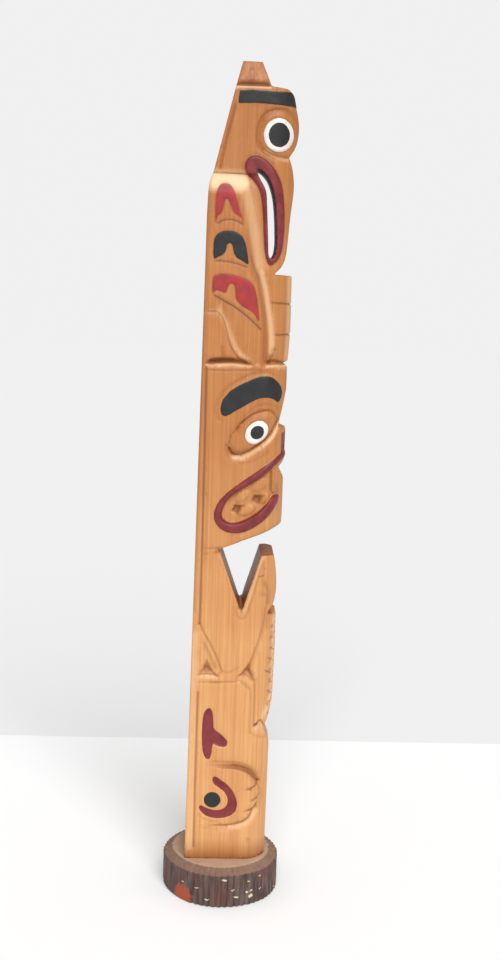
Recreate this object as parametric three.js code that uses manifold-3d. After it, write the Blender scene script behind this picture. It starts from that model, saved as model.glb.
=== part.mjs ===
import * as THREE from 'three';
import { mergeVertices } from 'three/addons/utils/BufferGeometryUtils.js';
import Module from 'manifold-3d';

const wasm = await Module();
wasm.setup();

// A carved totem pole on a slice of branch: +Z up, the figures face -Y, sizes in millimetres.
// The carving is drawn in the side plane as [forward from the back, height above the foot].

// ---- base slice
const baseRadius = 25.2;
const baseHeight = 16.6;
const rimHeight = 2.4;        // how far the bevelled ring drops to the bark
const rimWidth = 3.7;
const footRound = 0.8;
const barkWaver = 0.35;

// ---- pole stock
const poleWidth = 26;
const flatDepth = 25;         // flat sides, then a half ellipse round the front
const stockDepth = 35.8;
const poleHeight = 330.8;
const backFromCentre = 15.7;  // pole's back behind the middle of the base
const leanDeg = 0.65;         // the pole leans forward a little
const headInset = 1.4;        // the head and the belly are slimmer than the wings
const crestHalf = [11.2, 8.6]; // half width of the crest at its foot and its top

// ---- heights of the figures
const crown = 321.1;          // top of the upper head, under its crest
const beakTip = 249;
const wingTop = 288.2;
const ledge = 213.4;          // foot of the upper figure, top of the middle one
const noseTop = 187;
const noseFoot = 174;
const mouthLine = 170.7;
const chinFront = 146.8;
const chinBack = 136.6;
const gapFloor = 110;
const pawTop = 134.4;
const tailTop = 108.4;
const hullFoot = 83.6;        // foot of the crouching body, top of the lowest figure
const snoutTop = 58.3;

// ---- geometry helpers
const P = (list) => list.map(([u, w]) => new THREE.Vector2(u, w));

function polygon(list) {
  return new THREE.Shape(P(list));
}

function smooth(list) {
  const shape = new THREE.Shape();
  const closed = [...list, list[0]];
  shape.moveTo(...closed[0]);
  shape.splineThru(P(closed.slice(1)));
  return shape;
}

function oval(u, w, halfU, halfW, turnDeg = 0, corners = 20) {
  const turn = THREE.MathUtils.degToRad(turnDeg);
  const rim = [];
  for (let i = 0; i < corners; i++) {
    const a = (2 * Math.PI * i) / corners;
    const at = new THREE.Vector2(halfU * Math.cos(a), halfW * Math.sin(a));
    rim.push(at.rotateAround(new THREE.Vector2(), turn).add(new THREE.Vector2(u, w)));
  }
  return new THREE.Shape(rim);
}

// A ribbon of even width along a smooth line.
function ribbon(list, width, steps = 4) {
  const curve = new THREE.SplineCurve(P(list));
  const count = steps * (list.length - 1);
  const left = [];
  const right = [];
  for (let i = 0; i <= count; i++) {
    const at = curve.getPoint(i / count);
    const way = curve.getTangent(i / count);
    const side = new THREE.Vector2(-way.y, way.x).multiplyScalar(width / 2);
    left.push(at.clone().add(side));
    right.unshift(at.clone().sub(side));
  }
  return new THREE.Shape([...left, ...right]);
}

function toSolid(geometry) {
  let g = geometry.clone();
  g.deleteAttribute('normal');
  g.deleteAttribute('uv');
  g = mergeVertices(g, 1e-4);
  const vertProperties = new Float32Array(g.attributes.position.array);
  const triVerts = new Uint32Array(g.index.array);
  return new wasm.Manifold(new wasm.Mesh({ numProp: 3, vertProperties, triVerts }));
}

function toGeometry(solid) {
  const mesh = solid.getMesh();
  const g = new THREE.BufferGeometry();
  const position = new Float32Array(mesh.numVert * 3);
  for (let i = 0; i < mesh.numVert; i++) {
    for (let k = 0; k < 3; k++) position[i * 3 + k] = mesh.vertProperties[i * mesh.numProp + k];
  }
  g.setAttribute('position', new THREE.BufferAttribute(position, 3));
  g.setIndex(new THREE.BufferAttribute(new Uint32Array(mesh.triVerts), 1));
  const flat = g.toNonIndexed();
  flat.computeVertexNormals();
  return flat;
}

// Side outline pushed across the pole, from x = -half to x = half.
function across(shape, half = 30, segments = 3) {
  const g = new THREE.ExtrudeGeometry(shape, { depth: 2 * half, bevelEnabled: false, curveSegments: segments });
  g.translate(0, 0, -half);
  const frame = new THREE.Matrix4().makeBasis(
    new THREE.Vector3(0, -1, 0), new THREE.Vector3(0, 0, 1), new THREE.Vector3(-1, 0, 0));
  g.applyMatrix4(frame);
  return toSolid(g);
}

// Front outline pushed through the pole from front to back.
function fromFront(shape) {
  const g = new THREE.ExtrudeGeometry(shape, { depth: 80, bevelEnabled: false });
  g.rotateX(Math.PI / 2);
  g.translate(0, 20, 0);
  return toSolid(g);
}

// The stock seen from above, taken in at the sides; what is taken in fades out round the front.
function stock(inset, segments = 8) {
  const half = poleWidth / 2 - inset;
  const shape = new THREE.Shape();
  shape.moveTo(-half, 0);
  shape.lineTo(half, 0);
  shape.lineTo(half, -flatDepth);
  shape.absellipse(0, -flatDepth, half, stockDepth + 0.5 * Math.sign(inset) - flatDepth, 0, Math.PI, true, 0);
  const g = new THREE.ExtrudeGeometry(shape, {
    depth: poleHeight + 20, bevelEnabled: false, curveSegments: 2 * segments });
  g.translate(0, inset > 0 ? 1 : 0, -10);
  return toSolid(g);
}

const levels = new Map();
function level(inset) {
  if (!levels.has(inset)) levels.set(inset, stock(inset));
  return levels.get(inset);
}

// Cut the surface inside an outline down to a level; put material inside one up to a level.
const carve = (solid, shape, inset) => solid.subtract(across(shape).subtract(level(inset)));
const build = (solid, shape, inset) => solid.add(across(shape).intersect(level(inset)));

// ---- side profile of the pole
function profile() {
  const s = new THREE.Shape();
  s.moveTo(0, -2);
  s.lineTo(0, wingTop - 16);
  s.splineThru(P([[0.4, wingTop - 5.4], [2, wingTop]]));
  s.lineTo(9.6, crown);
  s.lineTo(12, poleHeight);
  s.lineTo(19.6, poleHeight);
  s.lineTo(23.5, crown + 0.4);
  s.lineTo(30, crown - 0.3);
  s.splineThru(P([[32.2, crown - 2.3], [33.5, 314.6], [35.3, 307], [34.4, 299.9], [31.6, 294.9]]));
  s.splineThru(P([[33.3, 290.1], [34.2, 283], [33.2, 271.9], [31.8, 255.3], [27.7, beakTip + 0.4]]));
  s.lineTo(27.2, beakTip - 0.1);
  s.lineTo(35.1, beakTip - 0.2);
  s.lineTo(35.7, 227);
  s.lineTo(35, ledge + 1.2);
  s.lineTo(34, ledge);
  s.lineTo(34.8, ledge - 1.2);
  s.lineTo(35, 203.4);
  s.lineTo(31.9, noseTop + 0.4);
  s.lineTo(35.5, noseTop - 0.1);
  s.lineTo(35.5, noseFoot);
  s.lineTo(32.7, mouthLine);
  s.lineTo(35.5, 166);
  s.lineTo(35.7, 150);
  s.lineTo(35.4, chinFront);
  s.lineTo(10, chinBack);
  s.splineThru(P([[15.2, 122.5], [19.6, gapFloor + 0.6]]));
  s.lineTo(20.6, gapFloor + 0.6);
  s.lineTo(27.4, pawTop - 0.2);
  s.lineTo(32.6, pawTop);
  s.splineThru(P([[33.7, 129.8], [34.6, 120], [33.5, 113.1], [31.1, tailTop + 1.4]]));
  s.lineTo(31.4, tailTop + 0.2);
  s.lineTo(34.9, tailTop);
  s.lineTo(35.3, 93.7);
  s.lineTo(35.1, 71.9);
  s.splineThru(P([[33.8, 64.9], [31.3, snoutTop]]));
  s.lineTo(34.4, snoutTop - 6.9);
  s.lineTo(34.6, -2);
  return s;
}

function carvePole() {
  const blank = across(profile(), 30, 4);
  let pole = level(0).intersect(blank);

  // upper figure: slimmer head and belly, brow, eye, open beak with its lip
  const headBody = polygon([[-2, 350], [45, 350], [45, ledge + 0.4], [26.1, ledge + 0.4], [28.7, 217.8],
    [29.7, 221.5], [28.9, 227.4], [26.9, 236.5], [24.9, 247.1], [22.1, 262.6], [19.3, 273.3],
    [16.9, 282.8], [15.5, wingTop - 0.6], [-2, wingTop + 0.2]]);
  pole = carve(pole, headBody, headInset);
  for (const side of [-1, 1]) {
    const [foot, top] = crestHalf.map((half) => side * half);
    const outside = [[foot, crown], [top, poleHeight + 0.1], [30 * side, poleHeight + 0.1], [30 * side, crown]];
    pole = pole.subtract(fromFront(polygon(outside)));
  }
  pole = carve(pole, polygon([[9, crown], [24, crown + 0.3], [24, crown + 1.1], [9, crown + 0.8]]), 2.9);
  pole = carve(pole, ribbon([[10.6, 321], [9.4, 314], [3.8, wingTop]], 1.1, 2), headInset + 0.8);
  pole = build(pole, polygon([[10.8, 319.2], [32.4, 319.3], [33.2, 313.8], [10.6, 314]]), headInset - 0.4);
  pole = carve(pole, oval(27, 303.1, 8.2, 8.8), headInset + 1.2);
  pole = build(pole, oval(27, 303.1, 6.1, 6.8), headInset + 0.3);
  const slot = smooth([[18.9, 290], [22, 289.2], [25.8, 283.6], [27.6, 276], [27.9, 266], [27.2, 257.6],
    [25.6, 255], [24.6, 258], [23.7, 270], [23.6, 279.3], [21.4, 285.4]]);
  const lip = smooth([[14.4, 290.6], [17, 294.6], [21.4, 294.4], [27, 289.4], [30.2, 280], [31, 268],
    [30.4, 258.6], [28.4, 253.8], [26, 252.6], [23.9, 255.2], [22.8, 263], [21.6, 276], [19.8, 282.6]]);
  pole = build(pole, lip, headInset - 0.9).subtract(across(slot));

  // folded wing: rounded shoulder, long outer feather, leg tucked under it
  pole = pole.subtract(across(polygon([[-2, wingTop - 2.2], [15.9, wingTop - 2.2], [15, wingTop + 1],
    [-2, wingTop + 1]])).subtract(level(0.9)));
  pole = carve(pole, ribbon([[17.9, 254.8], [21.8, 243.4], [24.3, 231], [24.9, 219.7], [25.4, ledge]], 0.9, 3), 0.7);
  const underWing = smooth([[-2, 234.2], [4.6, 234], [7.9, 231.3], [9.6, 225.1], [11.1, 220.7],
    [13.4, 215.8], [12, ledge], [4, ledge], [-2, ledge]]);
  pole = carve(pole, underWing, 0.8);
  pole = carve(pole, polygon([[1, ledge + 1.8], [12.4, ledge + 1.8], [19.9, ledge + 0.1], [1, ledge]]), 2);
  for (const fold of [237.8, 225.4]) {
    pole = carve(pole, polygon([[24, fold], [40, fold], [40, fold + 1.2], [24, fold + 1.2]]), headInset + 0.7);
  }
  pole = carve(pole, polygon([[25, ledge], [40, ledge], [40, ledge + 1], [25, ledge + 1]]), 2.2);

  // strip left proud along the back, from the middle figure to the foot
  pole = carve(pole, ribbon([[2, ledge - 2], [2.4, 170], [3, 132.3], [2.8, 104]], 1, 2), 0.7);
  pole = carve(pole, ribbon([[3.4, 73.5], [3.3, 12.9], [3.5, 4]], 1, 1), 0.6);

  // middle figure: brow, eye in its socket, snarling mouth
  const socket = smooth([[12.6, 184], [16, 190], [20.3, 193.2], [26, 196], [32, 196.4], [37, 194],
    [37, 189.4], [31, 186.9], [27.8, 182.1], [24.6, 178.8], [19.6, 175.7], [14.6, 175.4], [12, 178.4]]);
  pole = carve(pole, socket, 1.2);
  pole = build(pole, oval(23.3, 185.9, 5.2, 5, 30), 0.4);
  const brow = smooth([[9, 192.2], [8.6, 196], [12.9, 202.4], [17.7, 206.1], [22.3, 208.3], [27, 209],
    [32, 205.7], [33.4, 202], [31.7, 198.2], [26.1, 200], [19.3, 197.4], [12.7, 192.6]]);
  pole = build(pole, brow, -0.4);
  const mouth = smooth([[34, 172], [24.9, 168.6], [14, 159], [9.4, 153.2], [11.4, 147.4], [17, 146.2],
    [24.5, 149.4], [30.2, 154.8], [33.4, 159.4], [36.5, 160], [36.5, 170]]);
  pole = carve(pole, mouth, 1.3);
  const teeth = polygon([[13, 153.4], [16.2, 157.6], [20.4, 155.2], [24.5, 161.4], [28.6, 159], [36, 168],
    [36, 157.6], [28.6, 156.8], [24.5, 155], [20.4, 153.6], [16.2, 151]]);
  pole = build(pole, teeth, 0.7);
  const upperLip = ribbon([[35.8, 173.8], [31.6, 172.9], [24, 168.2], [12.6, 158.6], [9.2, 154],
    [9.2, 149.4], [12.6, 146.5], [17, 146.2], [22, 148], [27.4, 151.4], [32, 157.8], [36.4, 158.4]], 3);
  pole = build(pole, upperLip, -0.7);

  // crouching body between the heads, with the tail of the figure below laid up its front
  const besideBody = polygon([[3.4, 104.4], [7.5, 94.7], [12.6, 84.6], [12.4, hullFoot], [3.4, hullFoot]]);
  pole = carve(pole, besideBody, 0.8);
  pole = carve(pole, polygon([[3.7, hullFoot - 0.6], [6.9, 89], [11.4, hullFoot - 0.6]]), 2.4);
  const frontOfBody = polygon([[31.2, 112], [29.6, 106.2], [27.9, 98], [25.2, 89.3], [20.8, 82.9],
    [25.6, 78], [27.3, snoutTop + 3], [40, snoutTop + 3], [40, 112]]);
  pole = carve(pole, frontOfBody, 1);
  pole = carve(pole, polygon([[20.3, 82.9], [24.5, 87.2], [26.6, 80]]), 2.6);

  // lowest figure: long ear mark, raised flipper with its fingers, crescent and round joint
  pole = carve(pole, ribbon([[-2, hullFoot - 1.4], [21.2, 79.8], [24.7, 77.3], [25.7, 73.4], [25.6, 60]], 1, 3), 0.8);
  pole = carve(pole, ribbon([[8, 66.4], [8.6, 47]], 4.6, 1), 0.7);
  pole = carve(pole, ribbon([[8.9, 55.4], [15.3, 52]], 3.4, 1), 0.7);
  const aroundFlipper = smooth([[4, 47.4], [20, 46.2], [30, 43], [36, 36], [38, 29], [35, 20], [26, 11.4],
    [12, 10], [4, 11]]);
  const flipper = smooth([[3.4, 42.6], [14, 42.4], [24.4, 41.2], [29.9, 35.7], [31.1, 29.6], [29.4, 24],
    [24.6, 17.9], [14, 15.7], [3.4, 15.4]]);
  pole = pole.subtract(across(aroundFlipper).subtract(across(flipper)).subtract(level(0.8)));
  for (const cut of [[24.1, 31.7, 30.6, 34.6], [27.2, 27.3, 31.4, 27.8], [24, 22.4, 29.8, 24]]) {
    pole = carve(pole, ribbon([[cut[0], cut[1]], [cut[2], cut[3]]], 0.9, 1), 0.6);
  }
  const crescent = ribbon([[11.2, 36.1], [16.2, 32.9], [19, 29.2], [19.4, 25], [16.8, 22], [12.6, 20.8],
    [7.4, 22.6]], 3.2, 3);
  pole = carve(pole, crescent, 0.7);
  return pole.intersect(blank);
}

function placePole(pole) {
  const leaning = pole.rotate([leanDeg, 0, 0]).translate([0, backFromCentre, baseHeight]);
  const above = new THREE.BoxGeometry(120, 120, 400).translate(0, 0, 200 + baseHeight);
  return leaning.intersect(toSolid(above));
}

// ---- slice of branch with its bark, a bevelled ring round the top
function baseSlice(segments = 60) {
  const rings = [
    [0, 0], [baseRadius - footRound, 0], [baseRadius, footRound], [baseRadius, 7],
    [baseRadius, baseHeight - rimHeight], [baseRadius - rimWidth, baseHeight], [0, baseHeight]];
  const g = new THREE.LatheGeometry(rings.map(([r, z]) => new THREE.Vector2(r, z)), segments);
  g.rotateX(Math.PI / 2);
  const at = g.attributes.position;
  for (let i = 0; i < at.count; i++) {
    const angle = Math.atan2(at.getY(i), at.getX(i));
    const radius = Math.hypot(at.getX(i), at.getY(i));
    const waver = barkWaver * (Math.sin(2 * angle + 0.6) + 0.5 * Math.sin(5 * angle));
    const scale = 1 + (radius / baseRadius) * waver / baseRadius;
    at.setXY(i, at.getX(i) * scale, at.getY(i) * scale);
  }
  g.computeBoundingBox();
  const middle = g.boundingBox.getCenter(new THREE.Vector3());
  g.translate(-middle.x, -middle.y, 0);
  return toSolid(g);
}

function node(name, solid, color, roughness) {
  const material = new THREE.MeshStandardMaterial({ color, roughness, metalness: 0 });
  material.name = name + '_wood';
  const mesh = new THREE.Mesh(toGeometry(solid), material);
  mesh.name = name;
  return mesh;
}

const totem = new THREE.Group();
totem.name = 'totem_pole';
totem.add(node('carved_pole', placePole(carvePole()), '#cf9a63', 0.5));
totem.add(node('log_base', baseSlice(), '#6e524a', 0.85));

export default totem;
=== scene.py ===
import bpy
import math
from functools import partial
import numpy as np
from mathutils import Matrix, Vector


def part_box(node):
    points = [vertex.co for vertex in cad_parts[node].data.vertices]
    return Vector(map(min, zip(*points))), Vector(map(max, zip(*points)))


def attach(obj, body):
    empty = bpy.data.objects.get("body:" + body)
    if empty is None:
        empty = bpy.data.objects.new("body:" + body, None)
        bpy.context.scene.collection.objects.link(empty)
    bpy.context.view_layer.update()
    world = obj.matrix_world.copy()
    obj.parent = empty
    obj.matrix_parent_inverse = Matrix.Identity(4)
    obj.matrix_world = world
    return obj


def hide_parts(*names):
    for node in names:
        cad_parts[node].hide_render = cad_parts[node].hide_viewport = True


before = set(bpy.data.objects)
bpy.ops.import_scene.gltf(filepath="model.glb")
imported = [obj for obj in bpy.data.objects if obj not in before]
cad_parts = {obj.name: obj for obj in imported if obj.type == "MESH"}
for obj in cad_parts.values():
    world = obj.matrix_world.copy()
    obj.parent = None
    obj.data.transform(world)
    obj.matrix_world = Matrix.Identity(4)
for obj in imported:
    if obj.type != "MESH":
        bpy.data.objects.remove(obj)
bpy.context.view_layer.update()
mm = 0.001
# the shortest step worth keeping, in mm
tiny = 0.01
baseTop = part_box("log_base")[1].z / mm


def deselectAll():
    if bpy.context.mode != "OBJECT":
        bpy.ops.object.mode_set(mode="OBJECT")
    bpy.ops.object.select_all(action="DESELECT")


def makeActive(piece):
    deselectAll()
    piece.select_set(True)
    bpy.context.view_layer.objects.active = piece


def applyTransform():
    bpy.ops.object.transform_apply(location=True, rotation=True, scale=True)


def startEdit():
    bpy.ops.object.mode_set(mode="EDIT")
    bpy.ops.mesh.select_all(action="SELECT")


def endSolid():
    # leaves edit mode with the whole surface facing out
    bpy.ops.mesh.select_all(action="SELECT")
    bpy.ops.mesh.normals_make_consistent(inside=False)
    bpy.ops.object.mode_set(mode="OBJECT")


def applyModifier(piece, kind, **settings):
    makeActive(piece)
    modifier = piece.modifiers.new(kind.lower(), kind)
    for name, value in settings.items():
        setattr(modifier, name, value)
    bpy.ops.object.modifier_apply(modifier=modifier.name)


def pointsOf(piece):
    co = np.zeros(len(piece.data.vertices) * 3)
    piece.data.vertices.foreach_get("co", co)
    return co.reshape(-1, 3)


def setPoints(piece, co):
    piece.data.vertices.foreach_set("co", co.ravel())
    piece.data.update()


def addAttribute(piece, name, values):
    attribute = piece.data.attributes.new(name, "FLOAT", "POINT")
    attribute.data.foreach_set("value", values.astype(np.float32))


def softStep(value):
    value = np.clip(value, 0, 1)
    return value * value * (3 - 2 * value)


def asPairs(points):
    # outlines are written flat, as u, w, u, w
    return np.reshape(points, (-1, 2))


def curveThrough(points, steps=6, closed=False):
    # a smooth line through the points, as a carver's pencil would run
    points = asPairs(points)
    count = len(points)
    out = []
    for i in range(count if closed else count - 1):
        places = [(i + k) % count if closed else min(max(i + k, 0), count - 1) for k in (-1, 0, 1, 2)]
        a, b, c, d = (points[place] for place in places)
        for step in range(steps):
            t = step / steps
            at = 0.5 * (2 * b + (c - a) * t + (2 * a - 5 * b + 4 * c - d) * t ** 2
                        + (3 * b - a - 3 * c + d) * t ** 3)
            out.append(tuple(at))
    if not closed:
        out.append(tuple(points[-1]))
    return out


def ellipse(u, w, halfU, halfW, turn=0, count=40):
    turn = math.radians(turn)
    rim = []
    for i in range(count):
        angle = 2 * math.pi * i / count
        a, b = halfU * math.cos(angle), halfW * math.sin(angle)
        rim.append((u + a * math.cos(turn) - b * math.sin(turn),
                    w + a * math.sin(turn) + b * math.cos(turn)))
    return rim


def plate(name, outline, place, low, high, push):
    # a filled outline set in space by place(a, b), then extruded along push from low to high
    deselectAll()
    bpy.ops.mesh.primitive_circle_add(vertices=len(outline), fill_type="NGON")
    piece = bpy.context.object
    piece.name = name
    push = Vector(push)
    for vertex, (a, b) in zip(piece.data.vertices, outline):
        vertex.co = Vector(place(a, b)) + push * low
    startEdit()
    bpy.ops.mesh.extrude_region_move(TRANSFORM_OT_translate={"value": push * (high - low)})
    endSolid()
    return piece


def cutWith(piece, cutter, operation):
    applyModifier(piece, "BOOLEAN", object=cutter, operation=operation, solver="EXACT")
    bpy.data.objects.remove(cutter)


# The pole, in mm. u runs forward from its back and w up from its foot, in every outline and line below.
stick = {
    "halfWidth": 13.0,
    "flatDepth": 25.0,      # where the sides end and the rounded front starts
    "stockDepth": 35.8,
    "backFromCentre": 15.7,
    "lean": 0.65,           # degrees
    "crown": 321.1,
    "crestTop": 330.8,
    "crestHalfFoot": 11.2,
    "crestHalfTop": 8.6,
    "ground": 1.4,          # how far the upper figure is cut back round its wings
    "frontFrom": 27,        # where the front's own cuts start, and how far they take to reach full depth
    "frontOver": 6,
    "waveDepth": 0.05,      # slow waves that a knife leaves on a long flat side
    "rippleDepth": 0.03,
    "voxel": 0.4,
    "triangles": 190000,
}
# how far the saw cuts run past the stick, and the steps round its front
sawReach = {"side": 16, "slot": 20, "low": -6, "high": 340, "roundSteps": 40}

profileStrokes = [
    ("line", [0, -3, 0, 272]),
    ("curve", [0, 272, 0.4, 282.8, 2, 288.2]),
    ("line", [9.6, 321.1, 12, 330.8, 19.6, 330.8, 23.5, 321.5, 30, 320.8]),
    ("curve", [30, 320.8, 32.2, 318.8, 33.5, 314.6, 35.3, 307, 34.4, 299.9, 31.6, 294.9]),
    ("curve", [31.6, 294.9, 33.3, 290.1, 34.2, 283, 33.2, 271.9, 31.8, 255.3, 27.7, 249.4]),
    ("line", [27.2, 248.9, 35.1, 248.8, 35.7, 227, 35, 214.6, 34, 213.4, 34.8, 212.2, 35, 203.4, 31.9, 187.4,
     35.5, 186.9, 35.5, 174, 32.7, 170.7, 35.5, 166, 35.7, 150, 35.4, 146.8, 10, 136.6]),
    ("curve", [10, 136.6, 15.2, 122.5, 19.6, 110.6]),
    ("line", [20.6, 110.6, 27.4, 134.2, 32.6, 134.4]),
    ("curve", [32.6, 134.4, 33.7, 129.8, 34.6, 120, 33.5, 113.1, 31.1, 109.8]),
    ("line", [31.4, 108.6, 34.9, 108.4, 35.3, 93.7, 35.1, 71.9]),
    ("curve", [35.1, 71.9, 33.8, 64.9, 31.3, 58.3]),
    ("line", [34.4, 51.4, 34.6, -3]),
]
beakSlot = [18.8, 289.9, 20.5, 289.6, 22.6, 288, 24.6, 285.2, 26.1, 281, 27, 276.5, 27.6, 271, 28, 265,
    28.1, 260.5, 27.7, 257.2, 26.8, 255.5, 25.8, 255.4, 25, 257, 24.7, 261, 24.2, 268, 23.6, 276,
    23.1, 280.8, 21.9, 283.8, 20.2, 286.6]


def sawBlank():
    print("pole: sawing the blank")
    side = []
    for kind, points in profileStrokes:
        stroke = curveThrough(points, 5) if kind == "curve" else asPairs(points)
        side += [point for point in stroke if not side or math.dist(point, side[-1]) > tiny]
    reach, half = sawReach["side"], stick["halfWidth"]
    blank = plate("carvedPole", side, lambda u, w: (0, -u, w), -reach, reach, (1, 0, 0))
    steps, bulge = sawReach["roundSteps"], stick["stockDepth"] - stick["flatDepth"]
    rounding = [math.pi * i / steps for i in range(steps + 1)]
    plan = [(half, 0)]
    plan += [(half * math.cos(a), -stick["flatDepth"] - bulge * math.sin(a)) for a in rounding]
    plan += [(-half, 0)]
    stock = plate("stock", plan, lambda x, y: (x, y, 0), sawReach["low"], sawReach["high"], (0, 0, 1))
    cutWith(blank, stock, "INTERSECT")
    reach = sawReach["slot"]
    hole = curveThrough(beakSlot, 4, True)
    slot = plate("slot", hole, lambda u, w: (0, -u, w), -reach, reach, (1, 0, 0))
    cutWith(blank, slot, "DIFFERENCE")
    applyModifier(blank, "REMESH", mode="VOXEL", voxel_size=stick["voxel"])
    applyModifier(blank, "SMOOTH", factor=0.5, iterations=2)
    return blank


# drawn shapes shared by the carving and the paint
drawn = {
    "beakLip": [14.2, 290, 14.5, 292.6, 16.2, 294.6, 18.6, 295.2, 21.3, 294.4, 24.2, 292.2, 27, 288.8,
     29, 284.6, 30.1, 279.5, 30.8, 272, 30.9, 265, 30.3, 258.6, 28.8, 255, 26.9, 253.1, 25.4, 253,
     24.3, 254.8, 23.4, 258.4, 22.8, 264, 22.2, 271, 21.5, 277, 20.5, 281.2, 18.9, 284.2, 16.4, 286.8,
     14.8, 288.4],
    "feather1": [3.5, 269.4, 3.2, 273, 3.2, 277, 3.7, 281, 5, 283.3, 7, 283.9, 9, 283.1, 10.4, 280.8,
     11.9, 276.8, 13.2, 272.6, 13.9, 270.8, 12, 271.7, 10.3, 273.2, 9.2, 275.4, 8.4, 277.4, 7.5, 277.9,
     6.7, 276.6, 6.2, 273.8, 5.2, 272, 4.2, 271.1],
    "feather2": [3.4, 254.5, 3, 258, 3.2, 262, 4.4, 264.2, 6.6, 265.4, 9.2, 265.7, 12, 265.1, 14.2, 263.6,
     15.6, 261.2, 16.4, 258, 17, 254.9, 17, 252.8, 14.6, 254.1, 12.4, 255.3, 11.2, 257.1, 10.6, 259.6,
     9.9, 260.7, 9, 260.8, 8.3, 259.8, 7.9, 257.8, 6.8, 256.2, 5.1, 255.3],
    "feather3": [3.3, 241.2, 3.3, 246.9, 5, 248.3, 8, 248.8, 12, 248.3, 16, 247.1, 18.7, 245.5, 20.3, 242.8,
     21.2, 239, 22, 234.2, 22.4, 230.8, 21.5, 231.4, 20.4, 233.3, 18.5, 234.7, 15.6, 236.2, 13.6, 238,
     12.6, 239.6, 12.4, 242, 12, 244.2, 11, 245, 10, 244.8, 9.2, 243.4, 8.5, 241.4, 7, 241.7, 5.2, 242.2,
     4.1, 241.8],
    "bearBrow": [8.2, 194.5, 8.6, 197.5, 10, 200, 12.5, 202.8, 16, 205, 20, 207, 23, 208.3, 26, 208.8,
     28.6, 208.3, 31, 206.5, 32.7, 204, 33.1, 201.4, 32.4, 199, 31.4, 198.1, 30.4, 198.8, 28.8, 199.7,
     26.4, 200, 23.5, 199.5, 20.5, 198, 17, 195.8, 14, 194, 12, 192.6, 10, 191.9, 8.7, 192.7],
    "bearLip": [42, 178.4, 36, 177.6, 33.6, 176.9, 31, 174.8, 27, 172, 23, 169, 19, 166, 15, 162.9,
     11.5, 159.8, 9, 156.8, 7.6, 153.8, 7.1, 151, 7.5, 148.7, 9, 146.4, 11, 144.8, 13.5, 143.9, 17, 143.7,
     20.3, 144.5, 24, 146.4, 28, 149.5, 31, 152.8, 33, 156, 33.8, 158.4, 33.2, 159.7, 31.6, 159.8,
     30.3, 158.6, 28.5, 156, 25.5, 153, 21.5, 150.2, 18, 148.4, 15, 147.8, 12.5, 148.3, 10.9, 149.6,
     10.4, 151.6, 10.9, 154, 12.2, 156.8, 14.5, 159.5, 18, 162, 22, 164.5, 26, 167.3, 29.3, 170, 31.8, 172.2,
     36, 175, 42, 175.8],
    "earMark": [7, 67, 8, 67.7, 9, 67.4, 9.8, 65.5, 10.2, 62, 10.4, 59.6, 11.2, 58.1, 13, 56.8, 15, 55,
     16.2, 53.6, 16.5, 52.2, 15.8, 51, 14.4, 50.6, 12, 51.3, 10.6, 51.8, 10.1, 50.4, 10, 48, 9.5, 45.8,
     8.7, 45, 7.7, 45.3, 6.5, 47.5, 5.9, 51, 5.6, 56, 5.6, 60, 5.7, 63, 6.2, 65.5],
    "crescent": [11, 36.9, 11.8, 37.4, 12.8, 37, 14.5, 35.8, 17, 34, 19, 31.8, 20.7, 29, 21.6, 26.4,
     21.6, 23.5, 20.5, 21, 18, 19.3, 15, 18.5, 12, 18.5, 9, 19.3, 6.8, 21, 5.6, 22.8, 5.7, 23.9, 6.6, 24.1,
     8.2, 23.2, 11, 22.3, 14, 22.2, 16, 23, 17.3, 24.5, 17.7, 26.5, 17.2, 28.7, 15.8, 30.7, 13.5, 32.5,
     11.7, 33.9, 10.9, 35.3],
}
drawn = {name: curveThrough(points, 3, True) for name, points in drawn.items()}
drawn["browBand"] = asPairs([11, 319.4, 16, 319.9, 24, 319.6, 30.8, 319.7, 42, 319, 42, 314, 33, 314.1,
                             27, 314.5, 18, 314.9, 10.6, 314.5])
drawn["birdEye"] = ellipse(27.1, 303.2, 6.0, 6.45)
drawn["birdPupil"] = ellipse(27.2, 303.2, 4.25, 4.7)
drawn["bearEye"] = ellipse(23.3, 185.7, 5.35, 4.15, 50)
drawn["bearPupil"] = ellipse(23.5, 185.8, 2.95, 2.65, 50)
drawn["joint"] = ellipse(11, 26.9, 3.6, 3.55)
drawn["noseFront"] = asPairs([33.7, 185.5, 40, 185.5, 40, 175.2, 33.7, 176.6])

paint = {
    "red": ["feather1", "feather3"],
    "maroon": ["beakLip", "bearLip", "earMark", "crescent", "noseFront"],
    "black": ["browBand", "birdPupil", "feather2", "bearBrow", "bearPupil", "joint"],
    "white": ["birdEye", "bearEye"],
}

wingFront = [15.6, 287.8, 16.7, 284, 18, 278.5, 20, 270, 21.8, 262, 23.3, 254, 24.5, 249, 25.2, 244,
    26.5, 237, 28, 231, 29.2, 224, 29.6, 220.5, 29, 218, 27.5, 216, 26.2, 213.6]
vGap = [10, 136.2, 13, 129, 16, 121.5, 18.6, 114, 20.2, 110, 21.6, 113.5, 23.6, 120.5, 25.6, 128,
    27.5, 134.6]

# scored lines on the tail: start, end and ink
tailHatch = [(33, 103.6, 34.2, 102.6, 0.5), (33, 99, 34.4, 97.9, 0.6), (33.4, 101, 34.4, 99.6, 0.4),
             (33, 94, 34.4, 92.7, 0.65), (31.8, 90, 34.2, 88.2, 0.55), (32.4, 86.6, 33.6, 88.6, 0.35),
             (31, 84.6, 34, 82.4, 0.9), (33, 80.6, 34.2, 77.8, 0.6), (32.3, 75.6, 34.2, 73.1, 0.65),
             (32.6, 72.4, 33.8, 74.8, 0.35), (32.4, 69.8, 33.3, 67.8, 0.6)]

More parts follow.
